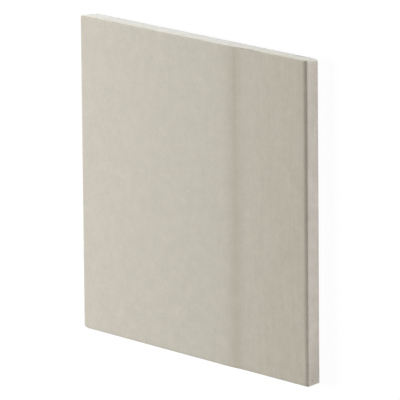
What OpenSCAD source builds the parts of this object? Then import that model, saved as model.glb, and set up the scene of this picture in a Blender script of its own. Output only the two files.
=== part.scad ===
// Piece of tapered drywall, cut from the long side of a full sheet and lying face up on its back.
// +X points to the factory edge, +Y runs along that edge and +Z points out of the face.
// The origin is under the middle of the piece, on the surface that it lies on.

/* [Board] */
// Width from the sawn side to the factory edge
board_w = 254; // [130:1:1220]
// Length along the factory edge
board_l = 228.6; // [60:0.1:3660]
// Thickness of the flat field, over both papers
board_t = 12.7; // [9.5:0.1:19]

/* [Papers] */
// Thickness of the face paper
face_paper_t = 0.35; // [0.25:0.05:0.5]
// Thickness of the back paper
back_paper_t = 0.35; // [0.25:0.05:0.5]
// Width of the face paper's flap, folded under the edge
flap_w = 25; // [16:1:40]
// Width of the flap, next to the edge, that the back paper leaves bare
bare_flap_w = 10; // [4:1:14]
// Outer radius of the face paper's two folds along the edge
fold_r = 0.6; // [0.5:0.05:1.5]

/* [Tapered edge] */
// Distance from the factory edge to the middle of the shoulder
taper_w = 78; // [40:0.5:90]
// Width of the shoulder's slope
shoulder_w = 12.5; // [8:0.5:20]
// Drop of the face over the shoulder
shoulder_drop = 1.2; // [0.4:0.05:1.5]
// Radius of the shoulder's crest and foot
shoulder_r = 125; // [20:5:150]
// Further drop of the face from the shoulder's foot to the nose
taper_drop = 0.4; // [0.2:0.05:1.5]
// Distance from the factory edge to where the face turns down into the nose
nose_w = 1.8; // [1.5:0.1:5]
// Slope of the nose, in degrees
nose_angle = 33; // [10:1:45]
// Radius of the turn into the nose
nose_r = 6; // [2:0.5:20]

/* [Hidden] */
$fn = 180;

// An arc reaches this far past its two tangent lines, so that they truly cross
arc_lap = 0.001;

// Heights down the tapered edge
foot_z = board_t - shoulder_drop;
nose_z = foot_z - taper_drop;
crease_z = nose_z - nose_w * tan(nose_angle);

// The section is drawn in X and Z, with the factory edge at X = 0.
// Its lines run anticlockwise: out along the flap, up the edge and back over the face.
skin = [
    [-flap_w, back_paper_t],
    [0, back_paper_t],
    [0, crease_z],
    [-nose_w, nose_z],
    [-taper_w + shoulder_w / 2, foot_z],
    [-taper_w - shoulder_w / 2, board_t],
    [-board_w, board_t]
];
skin_radii = fitted_radii(skin, [0, fold_r, fold_r, nose_r, shoulder_r, shoulder_r, 0]);

// The face paper's inner side, which the core fills
lining = inset_line(skin, face_paper_t);
lining_radii = inset_radii(skin, skin_radii, face_paper_t);

function heading(a, b) = (b - a) / norm(b - a);
function left_of(direction) = [-direction.y, direction.x];

// Turn of a line at one of its inner points, in degrees: positive at a convex corner
function bend(line, i) =
    let (arriving = heading(line[i - 1], line[i]), leaving = heading(line[i], line[i + 1]))
    atan2(cross(arriving, leaving), arriving * leaving);
function is_inner(line, i) = i > 0 && i < len(line) - 1;

// Distance from a corner to where its arc begins
function arc_reach(line, radii, i) = is_inner(line, i) ? radii[i] * tan(abs(bend(line, i)) / 2) : 0;

// Radii of a line's corners, made smaller where two arcs don't fit on the side between them
function side_share(line, radii, i) =
    norm(line[i + 1] - line[i])
    / max(arc_reach(line, radii, i) + arc_reach(line, radii, i + 1), arc_lap);
function fitted_radii(line, radii) = [
    for (i = [0:len(line) - 1])
        is_inner(line, i)
            ? radii[i] * min(1, side_share(line, radii, i - 1), side_share(line, radii, i))
            : 0
];

// A line moved to its left by a distance, and the radii that keep its arcs concentric
function inset_point(line, i, distance) =
    let (
        last = len(line) - 1,
        arriving = left_of(heading(line[max(i - 1, 0)], line[max(i, 1)])),
        leaving = left_of(heading(line[min(i, last - 1)], line[min(i + 1, last)]))
    )
    line[i] + distance * (arriving + leaving) / (1 + arriving * leaving);
function inset_line(line, distance) = [for (i = [0:len(line) - 1]) inset_point(line, i, distance)];
function inset_radii(line, radii, distance) = [
    for (i = [0:len(line) - 1])
        radii[i] > 0 ? max(0, radii[i] - sign(bend(line, i)) * distance) : 0
];

// The scrap between a corner and its arc: cut off at a convex corner, filled in at a hollow one
module corner_scrap(line, radii, i) {
    turn = bend(line, i);
    reach = arc_reach(line, radii, i);
    arriving = heading(line[i - 1], line[i]);
    arc_start = line[i] - reach * arriving;
    arc_end = line[i] + reach * heading(line[i], line[i + 1]);
    chord = arc_end - arc_start;
    corner_h = reach * sin(abs(turn) / 2);
    difference() {
        translate(arc_start)
            rotate(atan2(chord.y, chord.x))
                translate([0, turn > 0 ? -2 * corner_h : 0])
                    square([norm(chord), 2 * corner_h]);
        translate(arc_start + sign(turn) * radii[i] * left_of(arriving))
            circle(r = radii[i] + arc_lap);
    }
}

// A closed outline from a line and the points that close it, with the line's corners rounded
module rounded_section(line, radii, closing_points) {
    corners = [for (i = [0:len(line) - 1]) if (radii[i] > 0) i];
    difference() {
        union() {
            polygon(concat(line, closing_points));
            for (i = corners)
                if (bend(line, i) < 0)
                    corner_scrap(line, radii, i);
        }
        for (i = corners)
            if (bend(line, i) > 0)
                corner_scrap(line, radii, i);
    }
}

// Everything between the outside of the face paper and the back paper
module skin_section() {
    rounded_section(skin, skin_radii, [[-board_w, back_paper_t]]);
}

module core_section() {
    rounded_section(lining, lining_radii, [[-board_w, back_paper_t], [-flap_w, back_paper_t]]);
}

// Runs a section along the board's length
module along_board() {
    translate([board_w / 2, board_l / 2, 0])
        rotate([90, 0, 0])
            linear_extrude(board_l)
                children();
}

// White gypsum core, bare at the sawn side and at both sawn ends
module gypsum_core() {
    color("#e6e4dc")
        along_board()
            core_section();
}

// Ivory face paper, wrapped round the factory edge and folded under it
module face_paper() {
    color("#cbc6b9")
        along_board()
            difference() {
                skin_section();
                core_section();
            }
}

// Grey back paper, glued over the core and the inner part of the flap
module back_paper() {
    color("#a79c8b")
        along_board()
            translate([-board_w, 0])
                square([board_w - bare_flap_w, back_paper_t]);
}

gypsum_core();
face_paper();
back_paper();
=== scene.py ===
# %% [markdown]
# # A sample piece of tapered drywall
#
# The object is a piece of drywall, about 254 by 229 mm, sawn from the long side of a full sheet. It has
# three pieces: a white gypsum core, an ivory face paper that wraps round the tapered factory edge, and a
# grey back paper. The exact solids already exist as a frame of CAD nodes. In this lesson we load that
# frame, model a worn and textured version of each piece in the same place, and photograph it lying on
# the floor.

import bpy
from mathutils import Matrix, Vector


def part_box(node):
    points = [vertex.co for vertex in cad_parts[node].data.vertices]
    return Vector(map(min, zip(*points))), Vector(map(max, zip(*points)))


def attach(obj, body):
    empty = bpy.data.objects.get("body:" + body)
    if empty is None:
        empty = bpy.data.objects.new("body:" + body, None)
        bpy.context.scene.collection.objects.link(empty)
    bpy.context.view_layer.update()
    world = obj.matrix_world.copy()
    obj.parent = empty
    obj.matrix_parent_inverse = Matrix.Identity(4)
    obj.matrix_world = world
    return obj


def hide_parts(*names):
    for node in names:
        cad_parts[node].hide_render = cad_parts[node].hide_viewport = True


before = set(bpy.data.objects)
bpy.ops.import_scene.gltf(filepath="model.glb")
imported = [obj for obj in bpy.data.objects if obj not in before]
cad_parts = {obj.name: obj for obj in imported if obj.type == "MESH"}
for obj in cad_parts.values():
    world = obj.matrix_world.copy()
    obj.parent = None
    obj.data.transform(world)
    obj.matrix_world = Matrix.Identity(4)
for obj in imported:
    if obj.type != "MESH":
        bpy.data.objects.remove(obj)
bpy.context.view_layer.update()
print("frame nodes:", sorted(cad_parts))

# %% [markdown]
# ## Measure before modelling
#
# The outside of the board and the thickness of its papers come from these few numbers, so a change in the
# frame carries through. We could type the sizes in again, but reading them from the nodes' boxes means
# that the new pieces can't drift away from the frame. In the frame, X points to the factory edge, Y runs
# along it, and Z points out of the face.

# %% Read the sizes of the board from the frame
MM = 0.001

skin_low, skin_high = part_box("face_paper")
core_low, core_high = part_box("gypsum_core")
back_low, back_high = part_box("back_paper")
sawn_x, edge_x = skin_low.x, skin_high.x
end_y = skin_high.y
face_z, flap_z = skin_high.z, skin_low.z
face_paper_t = face_z - core_high.z
back_paper_t = back_high.z - back_low.z
print(f"board {(edge_x - sawn_x) / MM:.1f} x {2 * end_y / MM:.1f} x {face_z / MM:.1f} mm")
print(f"papers {face_paper_t / MM:.2f} and {back_paper_t / MM:.2f} mm")

# %% [markdown]
# ## The face paper's section
#
# On the real board a forming belt bends one strip of paper: a flap under the back, a fold, the upright
# edge, a second fold, a short sloping nose, a shallow taper, a soft shoulder and then the flat field. The
# CAD mesh has the same section, but its wide arcs have only two or three facets, which would show as
# stripes in a low light. So we bend a new strip: a single vertex is pushed straight ahead by an extrude
# and swung round each bend by a spin, the way a sheet-metal worker would read the section. The sizes of the
# bends can't be read from a box, so they are written here as they are in the drawing of the solids.

# %% Places of the bends, seen along the edge
import math

import bmesh
import bpy
from mathutils import Vector

FLAP_W = 25 * MM
FOLD_R = 0.6 * MM
NOSE_W = 1.8 * MM
NOSE_SLOPE = math.radians(33)
NOSE_R = 6 * MM
TAPER_W = 78 * MM
TAPER_DROP = 0.4 * MM
SHOULDER_W = 12.5 * MM
SHOULDER_DROP = 1.2 * MM
SHOULDER_R = 125 * MM

foot_z = face_z - SHOULDER_DROP
nose_z = foot_z - TAPER_DROP
crease_z = nose_z - NOSE_W * math.tan(NOSE_SLOPE)
flap_end = Vector((edge_x - FLAP_W, 0, flap_z))
sawn_end = Vector((sawn_x, 0, face_z))
# Each bend: its corner, the radius of its arc and the number of facets in that arc
bends = [
    (Vector((edge_x, 0, flap_z)), FOLD_R, 5),
    (Vector((edge_x, 0, crease_z)), FOLD_R, 5),
    (Vector((edge_x - NOSE_W, 0, nose_z)), NOSE_R, 8),
    (Vector((edge_x - TAPER_W + SHOULDER_W / 2, 0, foot_z)), SHOULDER_R, 7),
    (Vector((edge_x - TAPER_W - SHOULDER_W / 2, 0, face_z)), SHOULDER_R, 7),
]
print(f"{len(bends)} bends, with the crease of the nose {crease_z / MM:.2f} mm up")

# %% Bend the strip
GRID = 1.6 * MM
FINE_GRID = 0.8 * MM


def run_to(strip, tip, place, step):
    """Pushes the tip of the strip straight to a place, in steps of about one length, and returns it."""
    steps = max(1, round((place - tip.co).length / step))
    move = (place - tip.co) / steps
    for _ in range(steps):
        tip = bmesh.ops.extrude_vert_indiv(strip, verts=[tip])["verts"][0]
        bmesh.ops.translate(strip, verts=[tip], vec=move)
    return tip


skin = bmesh.new()
tip = skin.verts.new(flap_end)
corners = [flap_end, *(corner for corner, radius, facets in bends), sawn_end]
for (corner, radius, facets), before, after in zip(bends, corners, corners[2:]):
    arriving = (corner - before).normalized()
    leaving = (after - corner).normalized()
    turn = arriving.angle(leaving)
    axis = arriving.cross(leaving).normalized()
    arc_start = corner - arriving * radius * math.tan(turn / 2)
    is_upright = abs(arriving.z) > 0.9
    tip = run_to(skin, tip, arc_start, FINE_GRID if is_upright else GRID)
    centre = arc_start + axis.cross(arriving) * radius
    swung = bmesh.ops.spin(skin, geom=[tip], cent=centre, axis=axis, angle=turn, steps=facets)
    tip = swung["geom_last"][0]
tip = run_to(skin, tip, sawn_end, GRID)
print(f"section of the face paper: {len(skin.edges)} edges")

# %% [markdown]
# ## Draw the section along the board
#
# One long extrude would give the shape, but with no vertices between the ends there would be nothing to
# shape the paper's waves and its sawn rims with. So the section is extruded row by row, with narrow rows
# at both ends, and three more cuts give the sawn side the same narrow rows.

# %% Extrude the section row by row
RIM_ROWS = [0.15 * MM, 0.4 * MM, 0.8 * MM]
# Points closer together than this count as one
SAME_PLACE = 0.001 * MM


def rows_along(low, high):
    """Places from low to high: narrow rows at both rims and an even grid between them."""
    inner_low, inner_high = low + GRID, high - GRID
    count = round((inner_high - inner_low) / GRID)
    even = [inner_low + (inner_high - inner_low) * i / count for i in range(count + 1)]
    return [low, *(low + r for r in RIM_ROWS), *even, *(high - r for r in reversed(RIM_ROWS)), high]


def cut(mesh, faces, place, normal):
    """Cuts some faces of a mesh along a plane, and returns what they have become."""
    edges = dict.fromkeys(edge for face in faces for edge in face.edges)
    verts = dict.fromkeys(vert for face in faces for vert in face.verts)
    found = bmesh.ops.bisect_plane(
        mesh, geom=[*verts, *edges, *faces], dist=SAME_PLACE, plane_co=place, plane_no=normal
    )
    return [part for part in found["geom"] if isinstance(part, bmesh.types.BMFace)]


rows = rows_along(-end_y, end_y)
bmesh.ops.translate(skin, verts=skin.verts, vec=(0, rows[0], 0))
front = skin.edges[:]
for row, next_row in zip(rows, rows[1:]):
    drawn = bmesh.ops.extrude_edge_only(skin, edges=front)["geom"]
    front = [part for part in drawn if isinstance(part, bmesh.types.BMEdge)]
    moved = [part for part in drawn if isinstance(part, bmesh.types.BMVert)]
    bmesh.ops.translate(skin, verts=moved, vec=(0, next_row - row, 0))
for inset in RIM_ROWS:
    cut(skin, skin.faces[:], (sawn_x + inset, 0, 0), (1, 0, 0))
bmesh.ops.recalc_face_normals(skin, faces=skin.faces)
top = max(skin.faces, key=lambda face: face.calc_center_median().z)
if top.normal.z < 0:
    bmesh.ops.reverse_faces(skin, faces=skin.faces)
print(f"face paper, one skin thick: {len(skin.faces)} faces")

# %% [markdown]
# ## Wear that all three pieces share
#
# The saw pressed the paper's rims over a little and went through the lower end at a slant. Three corners
# of the sample are blunted from being knocked, and the upper rim has a small nick. Each piece could be worn
# by itself, but papers and core were pressed together and would come apart at the seams, so one function
# moves the points of all three. It only ever moves a point inwards, which keeps the sample inside the
# frame's box.

# %% Pressed rims, blunted corners, a slanted end and a nick
# Pressed rims: their width, their drop at the ends and at the side, and how deep the pressure went
RIM_W = 1.4 * MM
RIM_DROP = 0.2 * MM
SIDE_RIM_DROP = 0.1 * MM
PRESSED_DEPTH = 3 * MM
# Blunted corners: where each one starts, across the board and along it
LOWER_CORNER = (3.8 * MM, 2.3 * MM)
UPPER_CORNER = (1.6 * MM, 1.2 * MM)
EDGE_CORNER = (2.2 * MM, 1.6 * MM)
# Slanted end: how far its back lies in, and how far from the end this is felt
SLANT = 1.6 * MM
SLANT_REACH = 10 * MM
# Nick: its place, half its width, its depth, and its reach into the face and down the end
NICK_X = 57.6 * MM
NICK_W = 2.6 * MM
NICK_DEPTH = 0.5 * MM
NICK_REACH = 2 * MM
NICK_H = 4 * MM


def fade(distance, reach):
    """1 at no distance, falling smoothly to 0 at the reach."""
    left = max(0.0, 1 - distance / reach)
    return left * left


def blunted(from_side, from_end, reach):
    """Distances from the two sides of a corner, drawn in so that the square corner becomes round."""
    across = 1 - from_side / reach[0]
    along = 1 - from_end / reach[1]
    if across <= 0 or along <= 0:
        return from_side, from_end
    share = math.hypot(across, along) / max(across, along)
    return reach[0] * (1 - across / share), reach[1] * (1 - along / share)


def worn(point):
    """Where a point of the papers or the core has been pushed by the saw and by handling."""
    from_end = end_y - abs(point.y)
    from_side = point.x - sawn_x
    drop = max(RIM_DROP * fade(from_end, RIM_W), SIDE_RIM_DROP * fade(from_side, RIM_W))
    drop *= fade(max(0.0, face_z - point.z - PRESSED_DEPTH), PRESSED_DEPTH)
    nick = NICK_DEPTH * fade(abs(point.x - NICK_X), NICK_W) * fade(end_y - point.y, NICK_REACH)
    nick *= fade(face_z - point.z, NICK_H)
    inset, end_inset = blunted(from_side, from_end, LOWER_CORNER if point.y < 0 else UPPER_CORNER)
    x, y = sawn_x + inset, math.copysign(end_y - end_inset, point.y)
    # The knock on the factory edge was at the back, and left the crease alone
    behind = max(0.0, 1 - point.z / crease_z)
    if behind > 0:
        reach = (EDGE_CORNER[0] * behind, EDGE_CORNER[1] * behind)
        inset, end_inset = blunted(edge_x - x, end_y - y, reach)
        x, y = edge_x - inset, end_y - end_inset
    # The lower end was sawn at a slant, so that its back lies in
    y += SLANT * behind * fade(end_y + y, SLANT_REACH)
    return Vector((x, y - nick, point.z - drop - nick / 2))


print(f"rims pressed over by {RIM_DROP / MM:.2f} mm, three corners blunted")

# %% [markdown]
# ## Waves, wrinkles and sawn rims of the face paper
#
# A forming belt never leaves the face dead flat: in a low light it shows faint waves, and the upright edge
# has fine wrinkles where the paper was folded up. A bump map could hint at both, but real relief also
# survives in the exported mesh. The saw left the rims slightly ragged and tore a strip of the upper rim
# back, and at the knocked corner the paper is scuffed back from the upright edge, so that the white core
# shows. Only then does solidify give the paper its thickness, inwards, so that the outside keeps its size.

# %% Shape the paper's surface
from mathutils import noise

# Waves across and along the board, and wrinkles up and along the upright edge
WAVE_H = 0.03 * MM
WAVE_SIZE = (10 * MM, 22 * MM)
WRINKLE_H = 0.04 * MM
WRINKLE_SIZE = (1.1 * MM, 45 * MM)
EDGE_REACH = 1 * MM
# Ragged rims
RAG = 0.1 * MM
RAG_SIZE = 2.1 * MM
# Scuffed corner of the edge: its depth, its reach along the edge, and how softly it starts below the crease
SCUFF = 0.5 * MM
SCUFF_REACH = 6 * MM
SCUFF_TOP = 2 * MM
# Torn strip of the upper rim: its depth, place and width, and how softly it ends across and along the board
TORN = 0.55 * MM
TORN_X = 66.5 * MM
TORN_W = 11 * MM
TORN_FADE = 1.5 * MM
TORN_REACH = 2 * MM
# More columns of points give the nick its shape
NICK_CUTS = (-1.2 * MM, -0.6 * MM, 0, 0.6 * MM, 1.2 * MM)
# A point this near to a sawn face lies on it
ON_CUT = 0.01 * MM


def lay_back(vert, place, depth):
    """Moves a point in by a depth, if its place is on a sawn end or on the sawn side."""
    if end_y - abs(place.y) < ON_CUT:
        vert.co.y -= math.copysign(depth, place.y)
    if place.x - sawn_x < ON_CUT:
        vert.co.x += depth


for offset in NICK_CUTS:
    cut(skin, skin.faces[:], (NICK_X + offset, 0, 0), (1, 0, 0))
for vert in skin.verts:
    place = vert.co.copy()
    # The third numbers only keep the two noises apart
    wave = noise.noise(Vector((place.x / WAVE_SIZE[0], place.y / WAVE_SIZE[1], 0)))
    wrinkle = noise.noise(Vector((place.z / WRINKLE_SIZE[0], place.y / WRINKLE_SIZE[1], 7)))
    rag = noise.noise(place / RAG_SIZE)
    uprightness = fade(edge_x - place.x, EDGE_REACH)
    vert.co = worn(place)
    if place.z > crease_z:
        vert.co.z -= WAVE_H * (1 + wave) / 2 * (1 - uprightness)
    vert.co.x -= WRINKLE_H * (1 + wrinkle) / 2 * uprightness
    scuffed = fade(end_y - place.y, SCUFF_REACH) * uprightness
    scuffed *= min(1.0, max(0.0, crease_z - place.z) / SCUFF_TOP)
    from_strip = max(0.0, abs(place.x - TORN_X) - TORN_W / 2)
    torn = fade(from_strip, TORN_FADE) * fade(end_y - place.y, TORN_REACH)
    vert.co.y -= (SCUFF * scuffed + TORN * torn) * (1 + 0.5 * rag)
    lay_back(vert, place, RAG * (1 + rag) / 2)
print(f"face paper waved by {WAVE_H / MM:.2f} mm, scuffed back by {SCUFF / MM:.1f} mm at one corner")

# %% Give the paper its thickness and make it an object
SHARP = math.radians(40)


def make_piece(name, mesh, node):
    """Turns a finished bmesh into a smooth-shaded object that stands for a node of the frame."""
    for face in mesh.faces:
        face.smooth = True
    for edge in mesh.edges:
        edge.smooth = edge.calc_face_angle(0) < SHARP
    data = bpy.data.meshes.new(name)
    mesh.to_mesh(data)
    mesh.free()
    piece = bpy.data.objects.new(name, data)
    bpy.context.scene.collection.objects.link(piece)
    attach(piece, "root")
    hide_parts(node)
    triangles = sum(len(polygon.vertices) - 2 for polygon in data.polygons)
    print(f"{name}: {triangles} triangles")
    return piece


bmesh.ops.solidify(skin, geom=skin.faces[:], thickness=face_paper_t)
ivory_face_paper = make_piece("ivory_face_paper", skin, "face_paper")

# %% [markdown]
# ## The gypsum core
#
# The core is foamed plaster. Where the saw went through it, at both ends and along one side, it is a chalky
# surface with open air bubbles and a crumbled line under the papers. The whole solid could be divided
# evenly, but everything else of it is hidden. So we start from a merged copy of the CAD node and spend
# vertices only on the three sawn faces.

# %% Copy the core and divide its sawn faces
CELL = 0.6 * MM


def slice_face(mesh, face, axis, low, high):
    """Cuts one flat face into strips across an axis, and returns the strips."""
    count = round((high - low) / CELL)
    normal = Vector([float(i == axis) for i in range(3)])
    strips = []
    rest = face
    for i in range(1, count):
        place = normal * (low + (high - low) * i / count)
        halves = sorted(
            cut(mesh, [rest], place, normal), key=lambda part: part.calc_center_median()[axis]
        )
        strips += halves[:-1]
        rest = halves[-1]
    return [*strips, rest]


core = bmesh.new()
core.from_mesh(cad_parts["gypsum_core"].data)
bmesh.ops.remove_doubles(core, verts=core.verts, dist=SAME_PLACE)
bmesh.ops.dissolve_limit(
    core, angle_limit=math.radians(0.1), verts=core.verts[:], edges=core.edges[:]
)
# Each sawn face: the way it faces, and the axis along its length
for facing, along in ((Vector((0, 1, 0)), 0), (Vector((0, -1, 0)), 0), (Vector((-1, 0, 0)), 1)):
    sawn = max(core.faces, key=lambda face: face.normal.dot(facing) * face.calc_area())
    strips = slice_face(core, sawn, along, core_low[along], core_high[along])
    levels = round((core_high.z - core_low.z) / CELL)
    for i in range(1, levels):
        level = core_low.z + (core_high.z - core_low.z) * i / levels
        strips = cut(core, strips, (0, 0, level), (0, 0, 1))
print(f"gypsum core, sawn faces divided: {len(core.faces)} faces")

# %% Break up the sawn faces
CHALK_H = 0.1 * MM
CHALK_SIZES = (0.9 * MM, 4 * MM)
BUBBLE_SPACING = 2.6 * MM
BUBBLE_R = 0.75 * MM
BUBBLE_FLATNESS = 0.6
# A factor this large makes the bubbles' sizes unlike their neighbours'
BUBBLE_SPREAD = 37


def crumbled(place):
    """How far the sawn plaster lies back at a place: chalky unevenness and open bubbles."""
    chalk = sum(noise.noise(place / size) for size in CHALK_SIZES)
    depth = CHALK_H * (2 + chalk) / 2
    distances, centres = noise.voronoi(place / BUBBLE_SPACING)
    radius = BUBBLE_R * (noise.cell(centres[0] * BUBBLE_SPREAD) + 1) / 2
    from_centre = distances[0] * BUBBLE_SPACING
    if from_centre < radius:
        depth += BUBBLE_FLATNESS * math.sqrt(radius * radius - from_centre * from_centre)
    return depth


for vert in core.verts:
    place = vert.co.copy()
    vert.co = worn(place)
    lay_back(vert, place, crumbled(place))
white_gypsum_core = make_piece("white_gypsum_core", core, "gypsum_core")

# %% [markdown]
# ## The back paper
#
# The back is a plain grey liner, glued over the core and over the inner part of the face paper's flap. Its
# three sawn rims are ragged like the face paper's, and its fourth was slit straight at the mill. It could
# be drawn out from a section too, but it has no bends, so a grid is enough: it is stretched to size, its
# rims are moved, and solidify makes it a sheet.

# %% Make the back paper
back_w = back_high.x - back_low.x
back_l = back_high.y - back_low.y
liner = bmesh.new()
bmesh.ops.create_grid(
    liner, x_segments=round(back_w / GRID), y_segments=round(back_l / GRID), size=0.5
)
bmesh.ops.scale(liner, verts=liner.verts, vec=(back_w, back_l, 1))
bmesh.ops.translate(
    liner, verts=liner.verts, vec=((back_low.x + back_high.x) / 2, 0, back_low.z)
)
for vert in liner.verts:
    place = vert.co.copy()
    rag = noise.noise(Vector((place.x / RAG_SIZE, place.y / RAG_SIZE, 3)))
    vert.co = worn(place)
    lay_back(vert, place, RAG * (1 + rag) / 2)
bmesh.ops.reverse_faces(liner, faces=liner.faces)
bmesh.ops.solidify(liner, geom=liner.faces[:], thickness=back_paper_t)
grey_back_paper = make_piece("grey_back_paper", liner, "back_paper")

# %% [markdown]
# ## Tools for the finishes
#
# Colours are written as the sRGB hex values that a colour picker shows, and Blender's shaders want linear
# numbers, so one function converts them. A second function adds a node with its settings and links. The
# same could be clicked together in the shader editor, but a script can be read from top to bottom.

# %% Colour and node helpers
def linear(hex_colour):
    """A shader colour from an sRGB hex value."""
    channels = [int(hex_colour[i : i + 2], 16) / 255 for i in (1, 3, 5)]
    return (*(c / 12.92 if c <= 0.04045 else ((c + 0.055) / 1.055) ** 2.4 for c in channels), 1.0)


def add_node(tree, kind, settings, inputs):
    """Adds a node, sets its properties, and fills its inputs with values or with links."""
    node = tree.nodes.new(kind)
    for name, value in settings.items():
        setattr(node, name, value)
    for socket, value in inputs.items():
        if isinstance(value, bpy.types.NodeSocket):
            tree.links.new(value, node.inputs[socket])
        else:
            node.inputs[socket].default_value = value
    return node


def new_material(name):
    """An empty node material, and its tree."""
    material = bpy.data.materials.new(name)
    material.use_nodes = True
    material.node_tree.nodes.clear()
    return material, material.node_tree


print("ivory as linear:", [round(c, 3) for c in linear("#c9c4b8")])

# %% [markdown]
# ## Ivory board paper
#
# The face is a calendered multi-ply paper from recycled fibre. From an arm's length it is a matt ivory
# with a soft mottle, where fibres bunched in the pulp. Closer up it has fine fibres, mostly along the
# machine direction, which is Y here, and a few darker flecks. One texture could be painted for all of it,
# but a few noises at their real sizes stay sharp at any distance. First come the places where the paper
# isn't plain: stretches along the board's axes, and single marks.

# %% Places on the paper
def add_places(tree, at, reaches):
    """Named places: 0 before their start along an axis and 1 after their end, rising smoothly between."""
    axes = add_node(tree, "ShaderNodeSeparateXYZ", {}, {"Vector": at}).outputs
    places = {}
    for name, (axis, start, end) in reaches.items():
        places[name] = add_node(
            tree,
            "ShaderNodeMapRange",
            {"interpolation_type": "SMOOTHSTEP"},
            {"Value": axes[axis], "From Min": start, "From Max": end},
        ).outputs["Result"]
    return places


# Pressed paper gives the eye a matt ivory, with just enough gloss to brighten at a low angle
board_paper, tree = new_material("ivory_board_paper")
at = add_node(tree, "ShaderNodeTexCoord", {}, {}).outputs["Object"]
reaches = {
    "towards_edge": ("X", edge_x - 125 * MM, edge_x - 15 * MM),
    "beside_crease": ("X", edge_x - 10 * MM, edge_x - 0.5 * MM),
    "on_edge": ("X", edge_x - 0.5 * MM, edge_x - 0.2 * MM),
    "upper": ("Y", -end_y, end_y),
    "lower_end": ("Y", -end_y + 38 * MM, -end_y),
    "upper_corner": ("Y", end_y - 3 * MM, end_y - 2.2 * MM),
}
places = add_places(tree, at, reaches)
# The strip beside the crease, which gets painted shade
on_shaded_strip = add_node(
    tree,
    "ShaderNodeMath",
    {"operation": "SUBTRACT"},
    {0: places["beside_crease"], 1: places["on_edge"]},
).outputs[0]
print("places on the paper:", *places)

# %% Marks on the paper
ENDLESS = 10.0


def add_mark(tree, at, centre, reach, turn=0.0):
    """1 in the middle of an oval mark, fading to 0 at its reach along X, Y and Z, turned about Z."""
    local = add_node(
        tree,
        "ShaderNodeMapping",
        {"vector_type": "TEXTURE"},
        {"Vector": at, "Location": centre, "Rotation": (0, 0, turn), "Scale": reach},
    ).outputs["Vector"]
    distance = add_node(
        tree, "ShaderNodeVectorMath", {"operation": "LENGTH"}, {0: local}
    ).outputs["Value"]
    return add_node(
        tree,
        "ShaderNodeMapRange",
        {"interpolation_type": "SMOOTHSTEP"},
        {"Value": distance, "From Min": 0.25, "From Max": 1.0, "To Min": 1.0, "To Max": 0.0},
    ).outputs["Result"]


shoulder_middle = (edge_x - TAPER_W, 0, 0)
nick_middle = (NICK_X, end_y - NICK_DEPTH, foot_z)
prick_middle = (edge_x, -110.2 * MM, 6.7 * MM)
scratch_middle = (102 * MM, -28.6 * MM, foot_z)
on_crease = add_mark(tree, at, (edge_x, 0, crease_z), (1.5 * MM, ENDLESS, 1.5 * MM))
# The forming belt rubbed the shoulder a little warmer, and a thin line of painted shade runs down its
# middle
on_shoulder = add_mark(tree, at, shoulder_middle, (9 * MM, ENDLESS, ENDLESS))
on_shoulder_shade_line = add_mark(tree, at, shoulder_middle, (2.5 * MM, ENDLESS, ENDLESS))
# The nick is three times as wide as it is deep
on_nick = add_mark(tree, at, nick_middle, (2.7 * MM, 0.9 * MM, 0.9 * MM))
# A dark prick near the lower end of the upright edge
on_prick = add_mark(tree, at, prick_middle, (0.75 * MM, 0.75 * MM, 0.75 * MM))
# A slanting scratch on the recess, about 18 mm long
on_scratch = add_mark(tree, at, scratch_middle, (1.3 * MM, 12 * MM, 5 * MM), math.radians(-23.6))
print(f"nodes for the places and marks: {len(tree.nodes)}")

# %% Rims of the paper, where plaster dust lies
def add_rims(tree, at, inner, outer):
    """1 along the three sawn rims of a paper, in to an outer distance, and 0 past an inner one."""
    reaches = {
        "side": ("X", sawn_x + inner, sawn_x + outer),
        "upper": ("Y", end_y - inner, end_y - outer),
        "lower": ("Y", inner - end_y, outer - end_y),
    }
    rims = add_places(tree, at, reaches)
    ends = add_node(
        tree, "ShaderNodeMath", {"operation": "MAXIMUM"}, {0: rims["upper"], 1: rims["lower"]}
    ).outputs[0]
    return add_node(
        tree, "ShaderNodeMath", {"operation": "MAXIMUM"}, {0: ends, 1: rims["side"]}
    ).outputs[0]


on_rims = add_rims(tree, at, 0.3 * MM, 0.1 * MM)
print(f"nodes with the rims: {len(tree.nodes)}")

# %% Mottle, fibres, streaks and flecks
def add_grain(tree, at, sizes, detail):
    """Noise with grains of real sizes along X, Y and Z, where a size of 0 makes them endless."""
    scale = [1 / size if size else 0 for size in sizes]
    scaled = add_node(
        tree, "ShaderNodeMapping", {}, {"Vector": at, "Scale": scale}
    ).outputs["Vector"]
    return add_node(
        tree, "ShaderNodeTexNoise", {}, {"Vector": scaled, "Scale": 1.0, "Detail": detail}
    ).outputs["Fac"]


# Bunched fibres, in clouds from 10 mm down to 1.2 mm across
mottle = add_node(
    tree,
    "ShaderNodeTexNoise",
    {},
    {"Vector": at, "Scale": 1 / (10 * MM), "Detail": 3.0, "Roughness": 0.85},
).outputs["Fac"]
# Single fibres: real ones are 0.03 mm thin, and drawn ten times as wide to show
fibres = add_grain(tree, at, (0.3 * MM, 1.6 * MM, 0.3 * MM), 3.0)
# The forming belt drew streaks along the recess, about 4 mm apart
belt_streaks = add_grain(tree, at, (4 * MM, 40 * MM, 0), 2.0)
# Wrinkles run along the folded edge
wrinkles = add_grain(tree, at, (0, 40 * MM, 0.8 * MM), 2.0)
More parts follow.
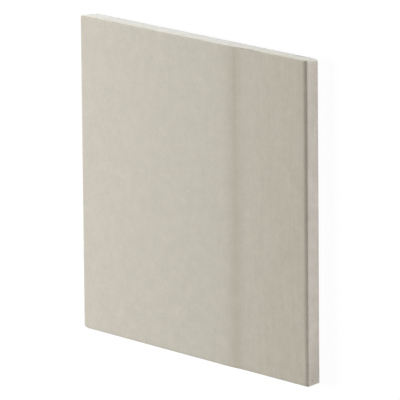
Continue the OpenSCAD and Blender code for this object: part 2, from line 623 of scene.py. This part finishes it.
# Dark flecks of recycled print, up to 0.6 mm long and some 25 mm apart
fleck_scale = (1 / (7 * MM), 1 / (9 * MM), 1 / (7 * MM))
fleck_place = add_node(
    tree, "ShaderNodeMapping", {}, {"Vector": at, "Scale": fleck_scale}
).outputs["Vector"]
fleck_distance = add_node(
    tree, "ShaderNodeTexVoronoi", {}, {"Vector": fleck_place, "Scale": 1.0}
).outputs["Distance"]
flecks = add_node(
    tree,
    "ShaderNodeMapRange",
    {},
    {"Value": fleck_distance, "From Min": 0.02, "From Max": 0.05, "To Min": 0.25, "To Max": 0.0},
).outputs["Result"]
print(f"nodes with the grain of the paper: {len(tree.nodes)}")

# %% Colour of the paper
def add_layers(tree, colour, layers):
    """Paints layers over a colour, each by its blend, the factors of its share, and its own colour."""
    for blend, factors, over in layers:
        share = factors[0]
        for factor in factors[1:]:
            share = add_node(
                tree, "ShaderNodeMath", {"operation": "MULTIPLY"}, {0: share, 1: factor}
            ).outputs[0]
        colour = add_node(
            tree,
            "ShaderNodeMix",
            {"data_type": "RGBA", "blend_type": blend},
            {0: share, 6: colour, 7: over},
        ).outputs[2]
    return colour


# The forming belt and handling rubbed the paper towards the factory edge, so that its fibres show more and
# it is streaked. There it is also a little darker. The upright edge is a cooler, pinker grey.
fibre_share = add_node(
    tree, "ShaderNodeMapRange", {}, {"Value": places["towards_edge"], "To Min": 0.06, "To Max": 0.13}
).outputs["Result"]
clean_layers = [
    ("MIX", [mottle], linear("#dfd9ca")),
    ("OVERLAY", [fibre_share], fibres),
    ("MIX", [flecks], linear("#6f6a60")),
    ("OVERLAY", [places["towards_edge"], 0.12], belt_streaks),
    # A little darker towards the factory edge
    ("MULTIPLY", [places["towards_edge"]], (0.943, 0.927, 0.9, 1)),
    ("MULTIPLY", [places["on_edge"]], (1.0, 1.0, 1.1, 1)),
    ("OVERLAY", [places["on_edge"], 0.12], wrinkles),
]
clean = add_layers(tree, linear("#bbb5a6"), clean_layers)
print(f"{len(clean_layers)} layers of clean paper")

# %% Dirt, dust and painted shade on the paper
GRIME_AND_SHADE = linear("#6b5f4c")

# Painted shade lies in the crease, along the thin line down the shoulder's middle and on the strip beside
# the crease, most of all at the upper end, and grime sits in the scratch. The upright edge is darker
# towards its lower end. The nick holds painted shade and the prick is dark, the knocked corner is scuffed
# pale, and plaster dust lies on the sawn rims.
dirt_and_shade_layers = [
    # Painted shade in the crease, darkest at the upper end
    ("MIX", [on_crease, places["upper"], 0.15], GRIME_AND_SHADE),
    ("MIX", [on_shoulder, 0.18], linear("#cdc0a9")),
    # Painted shade along the middle of the shoulder, fading out towards the lower end
    ("MIX", [on_shoulder_shade_line, places["upper"], 0.06], GRIME_AND_SHADE),
    ("MIX", [on_scratch, 0.1], GRIME_AND_SHADE),
    # Painted shade on the strip beside the crease, darkest at the upper end
    ("MIX", [on_shaded_strip, places["upper"], 0.15], GRIME_AND_SHADE),
    # The upright edge darker towards its lower end
    ("MIX", [places["on_edge"], places["lower_end"], 0.18], GRIME_AND_SHADE),
    # Painted shade in the nick
    ("MIX", [on_nick, 0.4], linear("#6b6353")),
    ("MIX", [on_prick, 0.6], linear("#6b5c56")),
    ("MIX", [places["on_edge"], places["upper_corner"], 0.35], linear("#cdcdc2")),
    ("MIX", [on_rims, 0.5], linear("#dedbd2")),
]
dusty = add_layers(tree, clean, dirt_and_shade_layers)
print(f"{len(dirt_and_shade_layers)} layers of dirt and dust")

# %% Relief and shader of the paper
def finish_piece(piece, material, inputs):
    """Ends a material in its shader, and gives it to a piece."""
    tree = material.node_tree
    shader = add_node(tree, "ShaderNodeBsdfPrincipled", {}, inputs).outputs["BSDF"]
    add_node(tree, "ShaderNodeOutputMaterial", {}, {"Surface": shader})
    piece.data.materials.append(material)
    print(f"{material.name}: {len(tree.nodes)} nodes")


roughness = add_node(
    tree, "ShaderNodeMapRange", {}, {"Value": mottle, "To Min": 0.7, "To Max": 0.88}
).outputs["Result"]
soft_relief = add_node(
    tree, "ShaderNodeBump", {}, {"Height": mottle, "Strength": 1.0, "Distance": 0.06 * MM}
).outputs["Normal"]
relief = add_node(
    tree,
    "ShaderNodeBump",
    {},
    {"Height": fibres, "Strength": 0.6, "Distance": 0.015 * MM, "Normal": soft_relief},
).outputs["Normal"]
finish_piece(
    ivory_face_paper,
    board_paper,
    {"Base Color": dusty, "Roughness": roughness, "IOR": 1.5, "Normal": relief},
)

# %% [markdown]
# ## Foamed gypsum
#
# Set plaster is a chalky, fully matt white. The air that was foamed into it leaves pores from a few
# hundredths of a millimetre up to a millimetre. The large ones are in the mesh, and the small ones are
# drawn here. A flat texture on each sawn face would break at the corners, so the pores are drawn in the
# board's own space and run on round them. The plaster next to the papers was mixed denser, so it has fewer
# pores, and the saw left fine scratches along the cut. Towards the back the core is a cooler white.

# %% Pores, chalk and saw marks of the gypsum
# Plaster gives the eye a dead, chalky white, and its pores and scratches break up the light
gypsum, tree = new_material("foamed_gypsum")
at = add_node(tree, "ShaderNodeTexCoord", {}, {}).outputs["Object"]
reaches = {
    "towards_face": ("Z", 3 * MM, 11 * MM),
    "towards_edge": ("X", edge_x - 85 * MM, edge_x - 25 * MM),
    "above_back": ("Z", back_high.z + 0.3 * MM, back_high.z + 1.5 * MM),
    "below_face": ("Z", core_high.z - 0.3 * MM, core_high.z - 1.5 * MM),
}
places = add_places(tree, at, reaches)
foamed = add_node(
    tree,
    "ShaderNodeMath",
    {"operation": "MULTIPLY"},
    {0: places["above_back"], 1: places["below_face"]},
).outputs[0]
chalk = add_grain(tree, at, (3 * MM, 3 * MM, 3 * MM), 4.0)
saw_marks = add_grain(tree, at, (9 * MM, 9 * MM, 0.4 * MM), 2.0)
pores = add_node(
    tree, "ShaderNodeTexVoronoi", {}, {"Vector": at, "Scale": 1 / (0.9 * MM)}
).outputs["Distance"]
pore_depth = add_node(
    tree,
    "ShaderNodeMapRange",
    {},
    {"Value": pores, "From Min": 0.05, "From Max": 0.3, "To Min": 1.0, "To Max": 0.0},
).outputs["Result"]
open_pores = add_node(
    tree, "ShaderNodeMath", {"operation": "MULTIPLY"}, {0: pore_depth, 1: foamed}
).outputs[0]
print(f"nodes for the grain of the gypsum: {len(tree.nodes)}")

# %% Colour, relief and shader of the gypsum
# The plaster is a little darker towards the factory edge: painted shade, where the light falls off
plaster_layers = [
    ("MIX", [places["towards_face"]], linear("#e9e6dc")),
    ("MULTIPLY", [places["towards_edge"]], (0.93, 0.935, 0.9, 1)),
    ("OVERLAY", [0.2], chalk),
    # The small pores are painted darker, as painted shade inside them
    ("MIX", [open_pores], linear("#d3cfc5")),
]
pored = add_layers(tree, linear("#e9e8e5"), plaster_layers)
roughness = add_node(
    tree, "ShaderNodeMapRange", {}, {"Value": chalk, "To Min": 0.88, "To Max": 1.0}
).outputs["Result"]
scratched = add_node(
    tree, "ShaderNodeBump", {}, {"Height": saw_marks, "Strength": 0.6, "Distance": 0.05 * MM}
).outputs["Normal"]
relief = add_node(
    tree,
    "ShaderNodeBump",
    {"invert": True},
    {"Height": open_pores, "Strength": 0.5, "Distance": 0.08 * MM, "Normal": scratched},
).outputs["Normal"]
finish_piece(
    white_gypsum_core,
    gypsum,
    {"Base Color": pored, "Roughness": roughness, "IOR": 1.52, "Normal": relief},
)

# %% [markdown]
# ## Grey liner paper
#
# The back is the cheaper liner: unbleached recycled fibre, warm grey, rougher than the face and clouded
# with light and dark fibres. Its sawn rims are white with plaster dust. It could be the face paper's
# material in other colours, but it was never rubbed by the belt or handled, so it gets a simpler one.

# %% Grey liner paper
# Unpressed paper gives the eye a warm, cloudy grey with hardly any gloss
liner_paper, tree = new_material("grey_liner_paper")
at = add_node(tree, "ShaderNodeTexCoord", {}, {}).outputs["Object"]
on_rims = add_rims(tree, at, 0.6 * MM, 0.15 * MM)
clouds = add_grain(tree, at, (6 * MM, 6 * MM, 6 * MM), 4.0)
# Coarser fibres than the face's, also drawn wider than they are
fibres = add_grain(tree, at, (0.5 * MM, 2 * MM, 0.5 * MM), 4.0)
liner_layers = [
    ("MIX", [clouds], linear("#b3a898")),
    ("OVERLAY", [0.35], fibres),
    ("MIX", [on_rims, 0.75], linear("#e4e2dc")),
]
dusty = add_layers(tree, linear("#9a907f"), liner_layers)
roughness = add_node(
    tree, "ShaderNodeMapRange", {}, {"Value": fibres, "To Min": 0.8, "To Max": 0.95}
).outputs["Result"]
relief = add_node(
    tree, "ShaderNodeBump", {}, {"Height": fibres, "Strength": 0.6, "Distance": 0.05 * MM}
).outputs["Normal"]
finish_piece(
    grey_back_paper,
    liner_paper,
    {"Base Color": dusty, "Roughness": roughness, "IOR": 1.5, "Normal": relief},
)

# %% [markdown]
# ## A pale floor and a white room
#
# The sample lies face up on a white sheet that blends into a white room. Plain white paint would need so
# much light to look white that the sample would burn out. So for the camera and in reflections, most of the
# floor's brightness is its own, and the rest is real light, which leaves the sample's faint shadow on it.
# For every other ray it is plain white paint that throws light back.

# %% Floor
FLOOR_GAP = 0.1 * MM
FLOOR_SIZE = 8
FLOOR_OWN_WHITE = 0.96
FLOOR_SHADE = 0.07


def add_background_mask(tree):
    """1 for the rays that should see a white background, and 0 for the light that falls on the sample."""
    path = add_node(tree, "ShaderNodeLightPath", {}, {}).outputs
    seen = path["Is Camera Ray"]
    for ray in ("Is Glossy Ray", "Is Transmission Ray"):
        seen = add_node(
            tree, "ShaderNodeMath", {"operation": "MAXIMUM"}, {0: seen, 1: path[ray]}
        ).outputs[0]
    return seen


floor_mesh = bmesh.new()
bmesh.ops.create_grid(floor_mesh, x_segments=8, y_segments=8, size=FLOOR_SIZE)
bmesh.ops.translate(floor_mesh, verts=floor_mesh.verts, vec=(0, 0, back_low.z - FLOOR_GAP))
floor_data = bpy.data.meshes.new("floor")
floor_mesh.to_mesh(floor_data)
floor_mesh.free()
floor = bpy.data.objects.new("floor", floor_data)
bpy.context.scene.collection.objects.link(floor)

# Matt paint gives the eye an even white with no reflection of the sample in it
white_floor, tree = new_material("matt_white_floor")
shade = (FLOOR_SHADE, FLOOR_SHADE, FLOOR_SHADE, 1)
paint = add_node(tree, "ShaderNodeBsdfDiffuse", {}, {"Color": linear("#f7f7f5")}).outputs[0]
shaded = add_node(tree, "ShaderNodeBsdfDiffuse", {}, {"Color": shade}).outputs[0]
own = add_node(tree, "ShaderNodeEmission", {}, {"Strength": FLOOR_OWN_WHITE}).outputs[0]
seen_floor = add_node(tree, "ShaderNodeAddShader", {}, {0: shaded, 1: own}).outputs[0]
surface = add_node(
    tree, "ShaderNodeMixShader", {}, {0: add_background_mask(tree), 1: paint, 2: seen_floor}
).outputs[0]
add_node(tree, "ShaderNodeOutputMaterial", {}, {"Surface": surface})
floor_data.materials.append(white_floor)
print(f"floor {FLOOR_GAP / MM:.1f} mm under the sample")

# %% White room
ROOM_LEVEL = 0.03
WHITE = (1, 1, 1, 1)

room = bpy.data.worlds.new("white_room")
room.use_nodes = True
room.node_tree.nodes.clear()
tree = room.node_tree
dim = add_node(
    tree, "ShaderNodeBackground", {}, {"Color": WHITE, "Strength": ROOM_LEVEL}
).outputs[0]
white = add_node(tree, "ShaderNodeBackground", {}, {"Color": WHITE, "Strength": 1.0}).outputs[0]
surface = add_node(
    tree, "ShaderNodeMixShader", {}, {0: add_background_mask(tree), 1: dim, 2: white}
).outputs[0]
add_node(tree, "ShaderNodeOutputWorld", {}, {"Surface": surface})
bpy.context.scene.world = room
bpy.context.scene.view_settings.view_transform = "Standard"
print(f"white room, which lights the sample at {ROOM_LEVEL}")

# %% [markdown]
# ## Studio lamps
#
# A low soft lamp on the left rakes over the face, which is what makes the shallow shoulder and the nose
# show as soft dark lines. A second lamp lights the sawn end at the top of the picture, and a weak low one
# on the right the upright edge. A lamp's level is the share of plain white light that a surface facing it
# would get at the sample, so that all together light the face at about 1 and colours render as written. The
# white plaster of the sawn side faces the raking lamp straight on and would burn out, so a photographer
# would shade it with a card. Here light linking takes the plaster out of that lamp, and gives its sawn side
# and its lower end weaker lamps of their own.

# %% Lamps
LAMP_W = 0.6
EDGE_LAMP_W = 0.3
RAKING_PLACE = Vector((-1.87, -0.1, 0.99))


def add_lamp(name, place, width, level):
    """A soft square lamp aimed at the sample, with its watts worked out from its level there."""
    lamp = bpy.data.lights.new(name, "AREA")
    lamp.shape = "SQUARE"
    lamp.size = width
    lamp.energy = level * math.pi**2 * place.length_squared
    lamp_object = bpy.data.objects.new(name, lamp)
    lamp_object.location = place
    lamp_object.rotation_euler = (-place).to_track_quat("-Z", "Y").to_euler()
    bpy.context.scene.collection.objects.link(lamp_object)
    print(f"{name}: {lamp.energy:.1f} W")
    return lamp_object


def link_light(lamp_object, piece, state):
    """Makes a lamp light one piece only, with the state INCLUDE, or all but that piece, with EXCLUDE."""
    receivers = bpy.data.collections.new(lamp_object.name + "_receivers")
    receivers.objects.link(piece)
    receivers.collection_objects[0].light_linking.link_state = state
    lamp_object.light_linking.receiver_collection = receivers


raking_lamp = add_lamp("raking_lamp", RAKING_PLACE, LAMP_W, 1.32)
add_lamp("end_lamp", Vector((-0.3, 2.0, 0.3)), LAMP_W, 0.47)
add_lamp("edge_lamp", Vector((1.9, 0.0, 0.2)), EDGE_LAMP_W, 0.58)
side_lamp = add_lamp("side_lamp", RAKING_PLACE, LAMP_W, 0.45)
lower_end_lamp = add_lamp("lower_end_lamp", Vector((0.3, -2.0, 0.3)), LAMP_W, 0.35)
link_light(raking_lamp, white_gypsum_core, "EXCLUDE")
link_light(side_lamp, white_gypsum_core, "INCLUDE")
link_light(lower_end_lamp, white_gypsum_core, "INCLUDE")

# %% [markdown]
# ## The camera
#
# The picture was taken from far away with a long lens, looking down over the factory edge, so the edges
# of the sample are almost parallel. The picture's upward direction is the board's own Y. A constraint that
# aims the camera would keep it upright, so it is turned on its side: its right and up directions are worked
# out from Y instead of from the vertical.

# %% Camera
from mathutils import Matrix

AIM = Vector((1.89, -1.99, 6.35)) * MM
DISTANCE = 4.317
TOWARDS_EDGE = math.radians(52.03)
TOWARDS_TOP = math.radians(11.23)
ROLL = math.radians(-0.515)
FOCAL_LENGTH = 552.35
SENSOR_W = 36

back = Vector(
    (
        math.sin(TOWARDS_EDGE) * math.cos(TOWARDS_TOP),
        math.sin(TOWARDS_TOP),
        math.cos(TOWARDS_EDGE) * math.cos(TOWARDS_TOP),
    )
)
level_right = (-back).cross(Vector((0, 1, 0))).normalized()
level_up = level_right.cross(-back)
right = level_right * math.cos(ROLL) + level_up * math.sin(ROLL)
up = back.cross(right)
lens = bpy.data.cameras.new("long_lens")
lens.sensor_width = SENSOR_W
lens.lens = FOCAL_LENGTH
lens.clip_end = 20
camera = bpy.data.objects.new("camera", lens)
turned = Matrix((right, up, back)).transposed().to_4x4()
camera.matrix_world = Matrix.Translation(AIM + back * DISTANCE) @ turned
bpy.context.scene.collection.objects.link(camera)
bpy.context.scene.camera = camera
print("camera at", [round(c, 3) for c in camera.matrix_world.translation])
